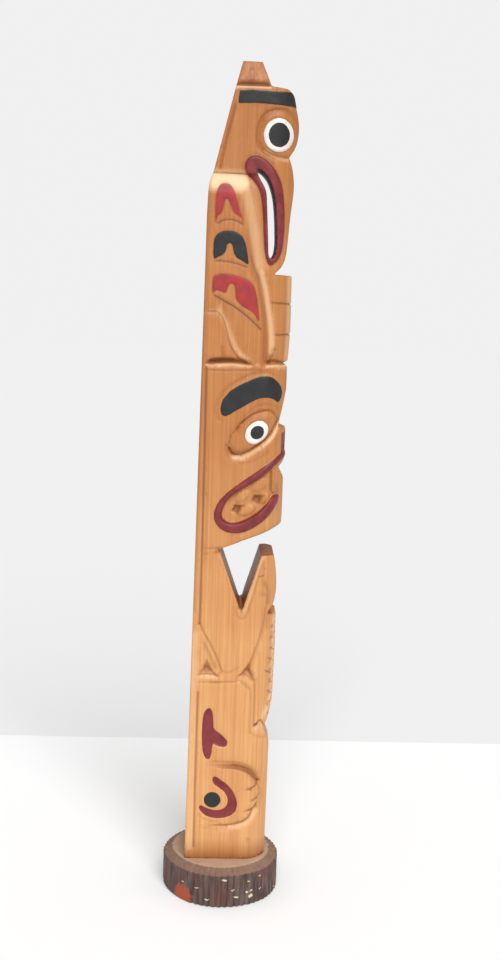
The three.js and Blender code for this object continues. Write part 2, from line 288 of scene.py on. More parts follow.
knife = {
    "reach": 0.5,           # how far past its walls a cut is looked for
    "bevelPower": 1.5,
    "endDepth": 0.15,       # the share of its depth that a fading vee has at its ends
    "inkReach": 1.25,       # how many widths of its mark the painted shade and brown stain spread
    "inkFade": 0.8,         # mm over which the painted shade and brown fade at a vee's ends, and what is left of them there
    "inkLeft": 0.3,
    "pitInk": 0.25,         # the painted shade and brown at a pit's outline
}


# The knife's jobs. More can be given by name: closed, front (the share also cut into the front), grow (the
# share of the run over which a vee deepens), ends (mm over which it fades) and power (its shape).
def cut(kind, points, **sizes):
    return dict(sizes, kind=kind, points=asPairs(points))


def vee(points, left, right, depth, ink=0, inkWidth=0, **more):
    # a V cut along a line: its widths left and right of the run, and the brown left in it, 0 to 1, which is
    # painted shade together with some varnish stain
    return cut("vee", points, walls=(left, right), depth=depth, ink=ink, inkWidth=inkWidth, **more)


def level(points, depth, edge):
    # an area sunk to a depth
    return cut("level", points, depth=depth, edge=edge)


def proud(points, height, edge, **more):
    # an area left standing, rounded over its edge
    return cut("proud", points, height=height, edge=edge, **more)


def bevel(points, depth, run):
    # an area that falls towards its outline
    return cut("bevel", points, depth=depth, run=run)


def pit(points, depth, run, ink):
    # a chip taken out to a point, darkened with painted shade and some stain
    return cut("pit", points, depth=depth, run=run, ink=ink)


# every job, in the order that they are done
cuts = [
    # upper figure
    level([-4, 345, 45, 345, 45, 213.4, *asPairs(wingFront)[::-1].ravel(), -4, 288], stick["ground"], 0.6),
    vee([-1, 287.9, 15.8, 287.9], 0.4, 8.5, 2.1, 0.35, 0.4, power=1.7),
    vee([9.7, 314.3, 8.2, 307.5, 6.3, 299.5, 4.4, 289], 0.5, 0.9, 0.8, 0.5, 0.5),
    level([14.3, 321, 14.4, 326, 14.9, 327.4, 15.8, 327.9, 16.6, 327.2, 17, 325.6, 17.3, 321], 0.9, 0.5),
    vee([14.3, 321.2, 14.35, 325.8, 14.9, 327.4, 15.8, 327.9, 16.6, 327.2, 17, 325.6, 17.3, 321.2], 0.4, 0.5,
     0.2, 0.42, 0.35),
    vee([9.4, 321.7, 23.2, 321.9], 1.6, 0.5, 1.4, 1, 0.75, ends=2),
    proud(drawn["browBand"], 0.2, 0.5, front=1),
    vee([33.6, 309.3, 31.4, 311.9, 28, 313, 23.5, 312.2, 20.5, 309.8, 19.1, 306, 18.8, 302, 19.4, 299,
     21.2, 296.9, 24.5, 295.4, 28, 294.7, 31.2, 294.3], 2.2, 0.9, 1, 0.22, 1),
    vee([21, 298.2, 22.6, 296.8, 25, 295.7, 28, 295, 31.6, 294.5], 0.4, 1.9, 0.8, ends=1.5),
    proud(drawn["birdEye"], 0.6, 2.2),
    vee(drawn["birdEye"], 0.5, 0.5, 0.35, 0.45, 0.4, closed=True),
    proud(drawn["beakLip"], 0.7, 1.3),
    vee(drawn["beakLip"], 1, 1, 0.3, 0.3, 0.5, closed=True),
    # wing
    vee(wingFront, 0.2, 3.4, 1, grow=0.45),
    vee([15.2, 281, 16.2, 268, 17.2, 258, 18.8, 252, 21, 247, 22.6, 242.5, 23.6, 237, 24.6, 231, 25, 225,
     25.1, 218, 25.9, 213.8], 2.2, 2.6, 1.15, 0.42, 1.3, grow=0.6),
    *(vee(drawn[name], 0.35, 0.35, 0.22, dark, 0.45, closed=True)
      for name, dark in (("feather1", 0.5), ("feather2", 0.4), ("feather3", 0.5))),
    vee([3.6, 268.6, 4.6, 268.3, 6, 269.3, 8.5, 269.9, 11, 269.7, 13.2, 268.8, 14.3, 268.1], 0.4, 0.4, 0.35,
     0.8, 0.5),
    vee([3.6, 271, 3.5, 268.6], 0.35, 0.35, 0.3, 0.5, 0.4),
    vee([13.9, 270.8, 14.2, 268.3], 0.35, 0.35, 0.3, 0.5, 0.4),
    vee([3.8, 253.6, 6.5, 253.7, 10, 253.4, 13.5, 252.6, 16.9, 251.6], 0.4, 0.4, 0.35, 0.75, 0.5),
    vee([3.9, 240.2, 7, 238.6, 12, 236, 17, 232.6, 20.5, 229.7, 23.4, 227.1], 0.45, 0.45, 0.4, 0.9, 0.55),
    # leg tucked under the wing, ledges below
    vee([-1, 234.4, 4.8, 234.9, 7.4, 234.1, 9.4, 231.8, 10.8, 228.6, 11.8, 225.2, 13.2, 221.2, 15.4, 217.6,
     18.5, 215.2, 22, 213.8], 4.5, 1.3, 0.7),
    vee([0.2, 233.6, 4.6, 233.8, 6.2, 233.2, 7.6, 231.6, 8.8, 229, 9.7, 225.8, 10.7, 222.3, 12.1, 219,
     14.2, 216.2, 17.2, 214.3, 20.2, 213], 0.4, 0.9, 0.45, 0.5, 0.4),
    vee([1.2, 212.9, 4.5, 213.5, 8, 213.9, 12, 214.1, 16, 213.9, 20.3, 213], 1.9, 1.2, 2.6, 0.95, 0.75,
     ends=4),
    vee([1.6, 213.6, 5, 214.3, 9, 214.5, 13, 214.5], 0.9, 0.9, 0.3, 0.75, 0.9, ends=3),
    vee([25.7, 213.4, 28.6, 214.5, 32.5, 213.9, 36, 213.5], 1.2, 1.2, 1.6, 0.6, 0.6, ends=2, front=1),
    vee([29.4, 219, 28.3, 216, 27.2, 214], 1, 1, 0.3, 0.3, 1.2),
    vee([26.9, 238, 31, 237.9, 36.5, 237.4], 0.6, 0.5, 0.6, 0.8, 0.5, front=1),
    vee([29.3, 225.2, 36.5, 225.4], 0.6, 0.5, 0.6, 0.8, 0.5, front=1),
    # middle figure
    vee([1.8, 210.3, 8, 210.2, 16, 210.6, 27, 211.2], 0.5, 0.5, 0.3, 0.3, 0.6),
    vee([2, 211.6, 2.2, 200, 2.4, 175, 2.7, 150, 2.9, 125, 3, 104], 0.4, 0.7, 0.8, 0.75, 0.45),
    vee([8.4, 189.8, 7, 191, 6.5, 194, 7, 197.7, 9.2, 201.6, 12.5, 204.8, 17, 207.6, 21, 209.4, 26, 210.3,
     30.5, 209.2], 0.8, 1.4, 0.42, 0.18, 0.9),
    proud(drawn["bearBrow"], 0.25, 0.6),
    vee([14.9, 186, 16, 188.3, 18, 190.5, 21, 193, 24, 194.5, 27, 195, 29.5, 194.7, 30.4, 194], 0.9, 0.5,
     0.42, 0.4, 0.5),
    vee([17, 191.5, 20, 194.3, 23, 196.2, 27, 197.3, 30, 196.7, 32, 195.5], 0.6, 0.6, 0.22, 0.18, 0.6),
    vee([18, 191, 14.5, 187.5, 12.3, 184.5, 11.1, 181, 11.3, 178, 12.4, 175.4, 14.3, 173.7, 17.5, 172.8,
     21.5, 173.4, 25.5, 175.5, 29, 178.3], 0.8, 0.8, 0.2, 0.15, 0.9),
    bevel(curveThrough([12, 178.4, 12.4, 183, 15, 187, 18.5, 191, 23, 193.9, 28, 194.8, 31.3, 192, 31, 188,
     29, 184.6, 26, 181.6, 22.5, 179, 19, 176.8, 15.5, 175.9, 13.2, 176.6], 3, True), 1.2, 3.6),
    vee([12.3, 178.8, 13.5, 176.7, 16.5, 175.7, 19.5, 177, 23, 179.6, 26.5, 182.4, 29, 185.2, 31.2, 189.6,
     33.4, 193], 0.7, 2.5, 1.7, 0.3, 0.9),
    vee([13, 178.4, 14.8, 176.8, 17, 176.7, 19.6, 178], 0.8, 0.8, 0.2, 0.3, 1.3, ends=2),
    proud(drawn["bearEye"], 0.5, 1.2),
    vee(drawn["bearEye"], 0.4, 0.4, 0.3, 0.75, 0.4, closed=True),
    # mouth
    level([*np.ravel(curveThrough([31.5, 172.2, 29.3, 170, 26, 167.3, 22, 164.5, 18, 162, 14.5, 159.5,
     12.2, 156.8, 10.9, 154, 10.4, 151.5, 10.9, 149.6, 12.5, 148.3, 15, 147.8, 18, 148.4, 21.5, 150.3,
     25.5, 153, 28.5, 156, 30.4, 158.8], 3)), 38, 160.2, 38, 171.8], 1.5, 0.5),
    proud(ellipse(18.4, 159, 3.8, 2.1, 32), 0.9, 2.1),
    proud(ellipse(25.6, 164.2, 4.2, 2.5, 36), 0.9, 2.4),
    proud(ellipse(20.6, 153.2, 3.8, 2.2, 22), 0.9, 2.1),
    proud(ellipse(27.8, 158.4, 2.6, 1.8, 50), 0.8, 1.8),
    proud([30.4, 170.5, 30.4, 160.4, 36, 160.4, 36, 171], 0.9, 1),
    pit([14, 152.5, 15, 154.2, 15.1, 155.6, 17, 155.2, 20.3, 155.5, 18.2, 154, 17.5, 152.6, 17, 150.2,
     15.9, 152.1], 1.4, 0.8, 0.75),
    pit([22.1, 157, 23.1, 160, 25.6, 159.9, 28.2, 159.9, 26.6, 158, 25.5, 155.1, 24, 156.3], 1.6, 1.3, 0.7),
    vee([30, 170, 30.2, 165, 30.2, 161.8, 31.2, 160.2], 0.5, 0.5, 0.5, 0.5, 0.5),
    vee([33, 164.5, 33.2, 160.6], 0.5, 0.5, 0.3, 0.25, 0.5),
    proud(drawn["bearLip"], 1, 1.6, front=0.4),
    vee([11, 149.2, 12.6, 147.9, 15, 147.5, 18, 148.1, 21.6, 149.9, 25.6, 152.7, 28.6, 155.7], 0.3, 0.3, 0.3,
     0.85, 0.55),
    vee([13, 158.2, 15, 160.2, 18.3, 162.6, 22.2, 165, 26.2, 167.8, 29, 170], 0.3, 0.3, 0.2, 0.5, 0.8),
    vee([17, 138.4, 21, 139.8, 25, 141.3, 31, 144.4, 36, 147.5], 2.6, 0.5, 1.3, 0.15, 1.6, power=1.2,
     ends=4),
    vee([3.2, 136.6, 7.5, 137, 12, 137.4], 0.5, 0.5, 0.3, 0.28, 0.5),
    vee([3.3, 134.4, 5.5, 134.6], 0.4, 0.4, 0.2, 0.3, 0.5),
    vee([7.4, 135.3, 11.6, 136], 0.7, 1.1, 0.9, 0.6, 0.8, grow=1),
    # crouching body
    vee(vGap, 0.3, 1.9, 1.5),
    vee([16.8, 112.5, 18.4, 108.8, 20.3, 107.1, 22, 108.6, 23.6, 113.2, 25, 119.5, 26.6, 127, 28.3, 132.8],
     0.9, 0.9, 0.35, 0.2, 0.7),
    vee([27.6, 134.9, 34, 135], 0.3, 1.1, 0.4),
    vee([26.3, 125.2, 27.6, 125.7, 29.3, 125.9], 0.3, 0.3, 0.3, 0.6, 0.4),
    vee([28.6, 128.6, 29.7, 128.8], 0.3, 0.3, 0.2, 0.4, 0.4),
    vee([28.9, 123, 30.6, 120.4, 31.4, 117, 31.1, 113], 2.4, 0.9, 0.8, 0.3, 1.2),
    vee([3, 104.2, 5, 100.2, 7.5, 96, 10, 91, 11.6, 87.3, 12.9, 84], 0.5, 1.9, 0.85, 0.22, 0.5),
    vee([4.9, 96.8, 7, 92.4, 9, 88.4, 10.5, 85], 1.3, 1, 0.8, 0.36, 0.7),
    vee([12.9, 84, 15.4, 83.6, 18, 84.8, 20.6, 86.4], 0.5, 0.5, 0.28, 0.14, 0.5),
    vee([30.3, 112, 29.8, 106, 28.6, 100, 27, 94.5, 25.5, 90.3, 23.6, 86.2, 20.4, 82.2], 2.8, 0.6, 1, 0.24,
     0.8),
    pit([3, 82.4, 5.4, 86.6, 6.4, 90.4, 8, 86.6, 9.6, 84, 12.2, 81.7, 7.6, 82.9], 2.4, 1.7, 0.5),
    pit([19.8, 82, 22.2, 84.6, 24.8, 89.2, 25, 85, 26, 82.4, 27.6, 79.4, 25, 81.6, 23.2, 83], 2.4, 1.5, 0.5),
    vee([3, 82.3, 7.5, 82.8, 12, 81.8], 0.5, 1.6, 0.9, 0.5, 0.6, ends=2),
    vee([20, 82, 23.2, 83.1, 25, 81.7, 27.2, 79.6], 0.5, 1.4, 0.8, 0.4, 0.6, ends=2),
    *(vee(hatch[:4], 0.3, 0.3, 0.35, hatch[4], 0.33) for hatch in tailHatch),
    # lowest figure
    vee([3.4, 79.2, 8, 79.2, 12.5, 79.4, 20, 79.8], 0.6, 0.6, 0.35, 0.3, 0.5),
    vee([20.6, 79.6, 22.6, 78.4, 24.6, 76.8], 0.5, 0.5, 0.3, 0.32, 0.5),
    vee([20, 80.5, 23.6, 78.8, 25.2, 76, 25.7, 72, 25.7, 62, 25.9, 57], 0.5, 0.5, 0.3, 0.25, 0.5),
    vee([26.9, 80.4, 27.2, 72, 27.3, 60.2], 1.6, 0.5, 0.8, 0.34, 0.5),
    level([27.3, 60.2, 29.9, 62.8, 36, 54.4, 30.5, 55, 27.3, 57.4], 0.5, 0.6),
    vee([25.9, 57.2, 28.2, 56, 31, 54.8, 34.5, 54.4], 0.6, 0.6, 0.3, 0.2, 0.6),
    vee([27.2, 60, 28.4, 61, 29.9, 62.6, 31.8, 60, 34.4, 55], 0.8, 0.4, 0.5, 0.7, 0.5),
    pit([26.9, 59.4, 27.2, 60.8, 29.2, 62, 29, 60.2], 1.2, 0.6, 0.9),
    level(drawn["earMark"], 0.7, 1.5),
    vee([6.5, 42.1, 10, 42.1, 15, 41.6, 20, 41.4, 24, 40.4, 27, 38.6, 29.3, 36, 30, 34.2], 3.2, 0.6, 2.1,
     0.75, 0.8, grow=0.5),
    vee([7.5, 14.9, 13, 15.1, 19, 15.5, 23.5, 16.6, 26.3, 18.3, 27.7, 20.5, 28.6, 22.4], 0.6, 2.8, 1.6, 0.55,
     0.6, grow=0.5),
    vee([30, 34.2, 31, 31.6, 31.2, 30, 30.4, 28.2, 30.8, 26.6, 29.9, 24.6, 28.6, 22.4], 2.2, 0.4, 0.9, 0.3,
     0.6),
    vee([23.8, 31.5, 27, 31.9, 29, 33.1, 30, 34.8], 0.9, 0.4, 1, 0.85, 0.45, grow=0.5),
    vee([26.6, 26.4, 29, 26.9, 30.6, 28.3], 0.9, 0.4, 0.9, 0.8, 0.42, grow=0.5),
    vee([23.6, 21.7, 27, 22.3, 29, 23.4, 30, 25], 0.9, 0.4, 1, 0.85, 0.45, grow=0.5),
    vee([8.5, 43.9, 20, 43.8, 27, 42.5, 31, 39.4], 0.8, 0.8, 0.16, 0.1, 0.8),
    vee([4.9, 20.6, 7, 18.4, 11, 17.2, 14.5, 16.8], 0.7, 0.7, 0.18, 0.16, 0.7),
    vee([6.8, 13.9, 14, 13.2, 22, 13.1], 0.8, 0.8, 0.14, 0.1, 0.8),
    level(drawn["crescent"], 0.5, 1.2),
    vee([3.2, 75, 3.3, 60, 3.4, 35, 3.7, 12, 3.8, 4.8], 0.4, 0.7, 0.7, 0.6, 0.45),
]


def nearLine(u, w, line, closed=False):
    # distance to a drawn line, which side of it (+1 left of its run), and how far along, in mm
    points = list(line) + ([line[0]] if closed else [])
    best = np.full(u.shape, 1e9)
    side = np.ones(u.shape)
    along = np.zeros(u.shape)
    inside = np.zeros(u.shape, bool)
    run = 0.0
    for (au, aw), (bu, bw) in zip(points[:-1], points[1:]):
        du, dw = bu - au, bw - aw
        length = math.hypot(du, dw)
        if length < 1e-9:
            continue
        share = np.clip(((u - au) * du + (w - aw) * dw) / length ** 2, 0, 1)
        offU, offW = u - au - share * du, w - aw - share * dw
        gap = offU ** 2 + offW ** 2
        closer = gap < best
        best = np.where(closer, gap, best)
        side = np.where(closer, np.sign(du * (w - aw) - dw * (u - au)), side)
        along = np.where(closer, run + share * length, along)
        if closed and abs(dw) > 1e-9:
            inside ^= ((aw > w) != (bw > w)) & (u < du * (w - aw) / dw + au)
        run += length
    return np.sqrt(best), side, along, run, inside


def nearby(u, w, points, margin):
    us, ws = zip(*points)
    return (u > min(us) - margin) & (u < max(us) + margin) & (w > min(ws) - margin) & (w < max(ws) + margin)


def under(job, u, w):
    # the points that a cut can reach, and how they lie to it
    isLine = job["kind"] == "vee" and not job.get("closed")
    points = curveThrough(job["points"], 5) if isLine else job["points"]
    margin = max(*job.get("walls", (0, 0)), job.get("edge", 0), job.get("inkWidth", 0))
    near = nearby(u, w, points, margin + knife["reach"])
    return near, nearLine(u[near], w[near], points, not isLine)


def deepened(job, was, gap, side, along, run, inside):
    kind = job["kind"]
    signed = np.where(inside, gap, -gap)
    if kind == "level":
        share = softStep(signed / job["edge"] + 0.5)
        return was * (1 - share) + np.maximum(was, job["depth"]) * share
    if kind == "proud":
        share = np.clip(signed / job["edge"], 0, 1)
        return was - job["height"] * np.sqrt(share * (2 - share))
    if kind == "bevel":
        fall = np.clip(1 - gap / job["run"], 0, 1) ** knife["bevelPower"]
        return was + job["depth"] * np.where(inside, fall, 0)
    if kind == "pit":
        return was + job["depth"] * np.clip(signed / job["run"], 0, 1)
    width = np.where(side > 0, *job["walls"])
    shape = np.clip(1 - gap / width, 0, 1) ** job.get("power", 1)
    if job.get("grow"):
        shape = shape * softStep(along / (run * job["grow"]))
    if job.get("ends"):
        shape = shape * softStep(np.minimum(along, run - along) / job["ends"] + knife["endDepth"])
    return was + job["depth"] * shape


def carveDepths(u, w):
    # how far each point of the side is cut in, and how far the front is
    sideDepth = np.zeros(u.shape)
    frontDepth = np.zeros(u.shape)
    for job in cuts:
        near, lie = under(job, u, w)
        was = sideDepth[near]
        now = deepened(job, was, *lie)
        sideDepth[near] = now
        frontDepth[near] += job.get("front", 0) * (now - was)
    crest = w > stick["crown"] + 0.2
    rise = np.clip((w - stick["crown"]) / (stick["crestTop"] - stick["crown"]), 0, 1)
    crestHalf = stick["crestHalfFoot"] + (stick["crestHalfTop"] - stick["crestHalfFoot"]) * rise
    crestDepth = sideDepth - stick["ground"] + stick["halfWidth"] - crestHalf
    return np.where(crest, crestDepth, sideDepth), frontDepth


def inkDepths(u, w):
    # painted shade in the cuts, where shade falls in the recesses, together with the brown that old varnish
    # leaves there, 0 to 1
    ink = np.zeros(u.shape)
    for job in cuts:
        if not job.get("ink"):
            continue
        near, (gap, side, along, run, inside) = under(job, u, w)
        if job["kind"] == "pit":
            dark = np.clip(np.where(inside, gap, -gap) / job["run"] + knife["pitInk"], 0, 1)
        else:
            dark = np.clip(knife["inkReach"] - gap / job["inkWidth"], 0, 1)
            if job.get("grow"):
                dark = dark * softStep(along / (run * job["grow"]))
            if not job.get("closed"):
                fade = np.minimum(along, run - along) / job.get("ends", knife["inkFade"])
                dark = dark * softStep(fade + knife["inkLeft"])
        ink[near] = np.maximum(ink[near], job["ink"] * dark)
    return ink


# painted highlight on edges, bevels and shelves that face up to the light, together with places where hands
# have worn the varnish thin: a line, its half width and how pale it is
highlightAndWearLines = [
    ([-1, 284.8, 6, 284.8, 13, 284.4], 4.2, 0.9),
    ([15, 283, 17, 276, 18.6, 268, 20.4, 260, 22, 252], 2.6, 0.34),
    ([22.6, 250, 24.4, 242, 26.6, 232, 27.8, 224, 28, 218.5], 1.4, 0.5),
    ([6.2, 234, 8.9, 230, 10.4, 225.9, 12.4, 221.3, 15, 217.8, 18.6, 215], 1.1, 0.3),
    ([2, 212.4, 6, 212.7, 10, 213, 15, 213, 20, 212.5], 0.5, 0.6),
    ([26, 212.7, 30, 212.9, 36, 212.7], 0.5, 0.6),
    ([9.4, 320.6, 16, 320.9, 23, 320.8], 0.6, 0.6),
    ([22, 297.2, 26, 295, 30.8, 293.9], 0.8, 0.45),
    ([14.5, 175.1, 17.5, 175, 21, 176.9, 25.6, 179.9, 28.8, 182.9, 30.8, 185.8, 32.6, 189.4], 0.9, 0.6),
    ([34.2, 248, 34.8, 228, 34.4, 215], 1.2, 0.4),
    ([34.4, 107, 34.7, 92, 34.4, 74, 31.6, 64.4], 1.2, 0.5),
    ([27.8, 60.2, 30.2, 60.8, 32.4, 57.2], 1.4, 0.3),
    ([3.4, 81.6, 8, 81.8, 12, 81.1], 0.7, 0.35),
    ([10.4, 134, 14, 126, 17.2, 117.4, 19.6, 110.8], 0.8, 0.25),
    ([28.2, 133.4, 26, 126, 23.8, 117.6, 21.2, 109.6], 0.6, 0.5),
    ([19, 14.6, 24, 15.6, 27.6, 18.2, 29.4, 22], 1.1, 0.4),
    ([1.4, 100, 1.6, 60, 1.9, 5], 1.4, 0.3),
]
# painted shade where cuts, undercuts and overhangs fall dark, together with places where brown has gathered,
# given the same way
shadeAndStainLines = [
    ([15.6, 322.6, 15.9, 324.6], 1.1, 0.75),
    ([12, 322.2, 20, 322.3], 0.7, 0.6),
    ([20.2, 309.4, 19.1, 306, 18.8, 302, 19.6, 298.8], 0.9, 0.3),
    ([31.6, 311.6, 28, 312.9, 24, 312.3], 1, 0.28),
    ([13.4, 291.6, 13.6, 289.8], 0.5, 0.4),
    ([17.8, 256, 19.6, 251, 21.4, 247.4, 22.8, 243, 24, 236.6, 24.8, 231], 0.9, 0.42),
    ([19, 250, 21.6, 245.6, 23, 241], 0.9, 0.3),
    ([25, 229, 25.2, 222, 25.4, 217], 0.8, 0.22),
    ([3.5, 214.2, 6.5, 214.9, 9.5, 214.9, 12.5, 214.8], 1, 0.8),
    ([8, 220, 8.4, 217, 8.8, 215], 0.9, 0.4),
    ([28.8, 219.6, 28, 216.4, 27.2, 214.8], 1, 0.4),
    ([28.5, 214.8, 31.5, 214.6], 0.7, 0.4),
    ([13.4, 178.6, 15, 177.2, 17.2, 177, 19.4, 178], 1.2, 0.42),
    ([12.6, 181.5, 12.6, 184], 0.9, 0.2),
    ([32.3, 163.8, 32.8, 161], 0.9, 0.3),
    ([30, 168, 30.1, 162], 0.6, 0.35),
    ([13.2, 157.6, 16.6, 161, 21, 164, 25.6, 167], 0.7, 0.35),
    ([16, 153.4, 17.4, 153.8], 1.6, 0.35),
    ([24.2, 158, 25.6, 158.6], 1.9, 0.35),
    ([8.6, 135.4, 11.6, 135.8], 0.9, 0.35),
    ([6.4, 86, 7.6, 84], 1.8, 0.45),
    ([23.6, 84.6, 25.2, 83], 1.8, 0.45),
    ([5.6, 94, 9.4, 86.4], 1, 0.16),
    ([19, 42.2, 23, 41.6, 26.4, 40, 28.9, 37.2, 29.8, 35.2], 1.2, 0.5),
    ([22, 42.6, 26.4, 41, 29.2, 38], 1.8, 0.2),
    ([22.6, 16.6, 25.8, 18.4, 27.6, 20.6], 0.8, 0.4),
    ([30.4, 33.6, 31.4, 30.4, 31.4, 26.4, 30.2, 23.4], 1.2, 0.22),
    ([27.8, 118.4, 30.6, 117.4, 31.2, 114.4], 1.1, 0.3),
    ([31.2, 107.4, 31, 103.4], 1.4, 0.22),
    ([26.7, 9.2, 26.8, 9.3], 0.9, 0.35),
    ([0.4, 300, 0.2, 200, 0.2, 110], 1.2, 0.3),
    ([8.2, 79.3, 13, 79.4], 0.5, 0.5),
]


def strokesAt(u, w, strokes):
    tone = np.zeros(u.shape)
    for line, half, amount in strokes:
        near = nearby(u, w, asPairs(line), 1.4 * half)
        gap = nearLine(u[near], w[near], curveThrough(line, 4))[0]
        tone[near] = np.maximum(tone[near], amount * softStep(1.35 - gap / half))
    return tone


def paintGap(u, w, names):
    # signed distance to the painted shapes, in mm, positive inside and no further out than 2
    best = np.full(u.shape, -2.0)
    for name in names:
        gap, side, along, run, inside = nearLine(u, w, drawn[name], True)
        best = np.maximum(best, np.clip(np.where(inside, gap, -gap), -2, 2))
    return best


# cuts seen from the front, in mm across from the middle and up
frontCuts = {
    "starts": 29.5,
    "tailLow": 64.0,
    "tailHigh": 107.0,
    "tailHalf": 8.6,
    "hatchStep": 4.8,
    "hatchSlant": 0.62,
    "hatchHalf": 0.42,
    "hatchDepth": 0.34,
    "hatchInk": 0.62,
    # fingers, teeth and the brow's parting: places across, low, high, half width, depth and how dark the cut
    # is painted, which is painted shade with some stain
    "uprights": [((-4.2, 0, 4.2), 113.0, 134.0, 0.6, 0.6, 0.4),
                 ((-5.4, -1.8, 1.8, 5.4), 160.6, 170.0, 0.6, 0.7, 0.5),
                 ((0,), 192.0, 210.0, 1.1, 0.6, 0.15)],
    "nostrils": (-4.4, 4.4),
    "nostrilHeight": 179.5,
    "nostrilHalf": (2, 1.5),
    "nostrilDepth": 1.2,
    "nostrilInk": 0.7,
}


# the front's cuts: how deep they are, and the painted shade with some stain that darkens the hatches,
# uprights and nostrils
def frontRelief(x, u, w):
    depth = np.zeros(x.shape)
    ink = np.zeros(x.shape)
    facing = u > frontCuts["starts"]
    step, tailHalf = frontCuts["hatchStep"], frontCuts["tailHalf"]
    tail = facing & (w > frontCuts["tailLow"]) & (w < frontCuts["tailHigh"]) & (np.abs(x) < tailHalf + 2)
    for slant in (frontCuts["hatchSlant"], -frontCuts["hatchSlant"]):
        phase = np.abs((w + slant * x) / step % 1 - 0.5) * step
        mark = np.clip(1 - phase / frontCuts["hatchHalf"], 0, 1) * tail
        mark = mark * np.clip((tailHalf + 1 - np.abs(x)) / 1.2, 0, 1)
        depth += frontCuts["hatchDepth"] * mark
        ink = np.maximum(ink, frontCuts["hatchInk"] * mark)
    for places, low, high, half, deep, dark in frontCuts["uprights"]:
        fade = softStep((w - low) / 2) * softStep((high - w) / 2) * facing
        for at in places:
            mark = np.clip(1 - np.abs(x - at) / half, 0, 1) * fade
            depth += deep * mark
            ink = np.maximum(ink, dark * mark)
    halfAcross, halfUp = frontCuts["nostrilHalf"]
    for at in frontCuts["nostrils"]:
        far = np.hypot((x - at) / halfAcross, (w - frontCuts["nostrilHeight"]) / halfUp)
        hole = np.clip(1 - far, 0, 1) * facing
        depth += frontCuts["nostrilDepth"] * hole
        ink = np.maximum(ink, frontCuts["nostrilInk"] * hole)
    return depth, ink


def carve(pole):
    print("pole: carving", len(pole.data.vertices), "points")
    co = pointsOf(pole)
    x, u, w = co[:, 0].copy(), -co[:, 1].copy(), co[:, 2].copy()
    sideDepth, frontDepth = carveDepths(u, w)
    half = stick["halfWidth"]
    onFront = np.clip((u - stick["frontFrom"]) / stick["frontOver"], 0, 1)
    onFront = onFront * np.clip(1.35 - np.abs(x) / half, 0, 1)
    frontMore, _ = frontRelief(x, u, w)
    waves = (stick["waveDepth"] * np.sin(w / 5.3 + u / 7) * np.sin(u / 3.1 + w / 17)
             + stick["rippleDepth"] * np.sin(w / 2.3 + 4 * np.sin(u / 5)))
    co[:, 0] = x * (1 - (sideDepth + waves) / half)
    co[:, 1] = -(u - (frontDepth + frontMore) * onFront)
    setPoints(pole, co)


# how firmly the thinning keeps painted points, points darkened with painted shade and stain, and plain
# points, and the strip at the back it may thin most
keepShares = {"painted": 1.0, "inked": 0.75, "plain": 0.35, "backStrip": 0.6}


def thin(pole):
    triangles = sum(len(face.vertices) - 2 for face in pole.data.polygons)
    print("pole: thinning", triangles, "triangles")
    co = pointsOf(pole)
    u, w = -co[:, 1], co[:, 2]
    painted = np.max([paintGap(u, w, names) for names in paint.values()], axis=0) > -0.6
    inked = inkDepths(u, w) > 0.05
    front = u >= keepShares["backStrip"]
    group = pole.vertex_groups.new(name="keep")
    for name, chosen in (("painted", painted), ("inked", inked & ~painted), ("plain", ~inked & ~painted)):
        group.add(np.flatnonzero(chosen & front).tolist(), keepShares[name], "REPLACE")
    applyModifier(pole, "DECIMATE", ratio=min(1.0, stick["triangles"] / triangles), vertex_group="keep",
                  vertex_group_factor=1.0, invert_vertex_group=True)
    pole.vertex_groups.clear()


# the V-shaped gap's sawn inner walls are painted browner than the side, as painted shade deep in the gap:
# where they are, and how brown
gapWalls = {"low": 108.5, "high": 138.2, "back": 9, "front": 33, "ink": 0.75}


def colourPoints(pole):
    print("pole: painting", len(pole.data.vertices), "points")
    co = pointsOf(pole)
    x, u, w = co[:, 0], -co[:, 1], co[:, 2]
    for colour, names in paint.items():
        addAttribute(pole, "paint_" + colour, paintGap(u, w, names))
    normals = np.zeros(len(x) * 3)
    pole.data.vertices.foreach_get("normal", normals)
    sheer = np.clip((0.5 - np.abs(normals[::3])) / 0.2, 0, 1)
    inGap = (w > gapWalls["low"]) & (w < gapWalls["high"]) & (u > gapWalls["back"]) & (u < gapWalls["front"])
    _, frontShadeAndStain = frontRelief(x, u, w)
    # painted shade with some stain: in the cuts, the front's cuts, the gap's inner walls and under overhangs
    inks = [inkDepths(u, w), frontShadeAndStain, gapWalls["ink"] * sheer * inGap, strokesAt(u, w, shadeAndStainLines)]
    addAttribute(pole, "ink", np.maximum.reduce(inks))
    # painted highlight with some wear on edges and shelves facing the light
    addAttribute(pole, "pale", strokesAt(u, w, highlightAndWearLines))
    addAttribute(pole, "up", w)


def buildPole():
    pole = sawBlank()
    carve(pole)
    thin(pole)
    colourPoints(pole)
    # stand it up: lean, set back, cut flush with the top of the base
    makeActive(pole)
    pole.matrix_world = (Matrix.Translation((0, stick["backFromCentre"], baseTop))
                         @ Matrix.Rotation(math.radians(stick["lean"]), 4, "X"))
    applyTransform()
    startEdit()
    bpy.ops.mesh.bisect(plane_co=(0, 0, baseTop), plane_no=(0, 0, 1), clear_inner=True, use_fill=True)
    bpy.ops.object.mode_set(mode="OBJECT")
    pole.scale = (mm, mm, mm)
    applyTransform()
    bpy.ops.object.shade_smooth()
    return pole


def hexColour(text):
    # an sRGB hex value as the linear colour that Blender works in
    out = []
    for i in (1, 3, 5):
        value = int(text[i:i + 2], 16) / 255
        out.append(value / 12.92 if value <= 0.04045 else ((value + 0.055) / 1.055) ** 2.4)
    return (*out, 1)


# the outputs that links start from, where it isn't a node's first
mainOutput = {"ShaderNodeMix": 2, "ShaderNodeAttribute": "Fac", "ShaderNodeTexCoord": "Object"}
